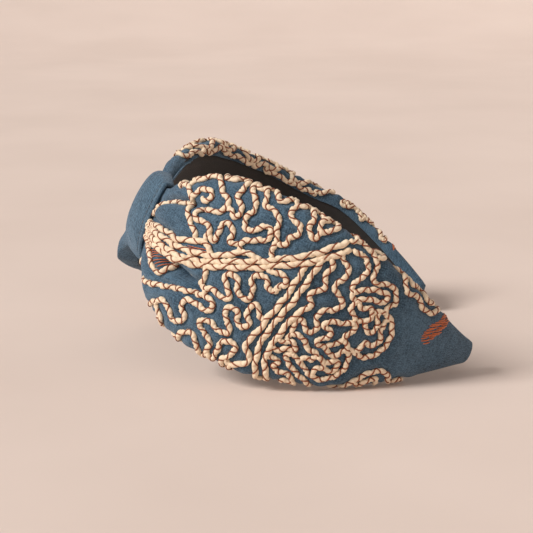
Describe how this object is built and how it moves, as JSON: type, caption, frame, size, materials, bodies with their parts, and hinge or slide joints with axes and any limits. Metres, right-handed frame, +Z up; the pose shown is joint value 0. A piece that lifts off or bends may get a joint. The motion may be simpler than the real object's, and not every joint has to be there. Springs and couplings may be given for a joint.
{
  "type": "knotted headband",
  "caption": "Wide knotted fabric headband: a sprung hoop in padded cloth arms that taper to points, with couched cord embroidery.",
  "frame": {"origin": "bottom centre of the part's box, on the surface it stands on", "axes": "+Z is up. +X runs level from the knot towards the tips, and +Y towards the left arm. The hoop's own plane is tipped 21.4 degrees about Y, so that the knot end is raised and the arms' lower edges meet the surface"},
  "size_m": [0.1318, 0.1562, 0.0762],
  "materials": {
    "chambray": "matte mid-blue chambray, fine plain weave",
    "lining": "near-black cloth lining",
    "cord": "cream twisted cord, couched with rust thread",
    "satin": "rust satin-stitch thread, soft sheen",
    "plastic": "black moulded plastic, hidden inside",
    "foam": "thin open-cell foam, hidden inside"
  },
  "bodies": {
    "crown": {"hoop_crown": "plastic", "lining_crown": "lining", "gather_core": "chambray", "knot_wrap": "chambray"},
    "left_arm": {"hoop_arm_left": "plastic", "foam_pad_left": "foam", "cover_left": "chambray", "tip_fold_left": "chambray", "lining_left": "lining", "stem_cords_left": "cord", "branch_cords_left": "cord", "petal_cord_left": "cord", "upper_vine_cord_left": "cord", "lower_vine_cord_left": "cord", "upper_sprig_cord_left": "cord", "lower_sprig_cord_left": "cord", "satin_bar_left": "satin"},
    "right_arm": {"hoop_arm_right": "plastic", "foam_pad_right": "foam", "cover_right": "chambray", "tip_fold_right": "chambray", "lining_right": "lining", "stem_cords_right": "cord", "branch_cords_right": "cord", "petal_cord_right": "cord", "upper_vine_cord_right": "cord", "lower_vine_cord_right": "cord", "upper_sprig_cord_right": "cord", "lower_sprig_cord_right": "cord", "satin_bar_right": "satin"}
  },
  "joints": [
    {"name": "left_arm_flex", "type": "hinge", "parent": "crown", "child": "left_arm", "pos_m": [-0.0528, 0.00907, 0.05318], "axis": [0.3649, 0, 0.9311], "range_deg": [0, 12], "stiffness_Nm_per_rad": 1.2},
    {"name": "right_arm_flex", "type": "hinge", "parent": "crown", "child": "right_arm", "pos_m": [-0.0528, -0.00907, 0.05318], "axis": [-0.3649, 0, -0.9311], "range_deg": [0, 12], "stiffness_Nm_per_rad": 1.2}
  ]
}
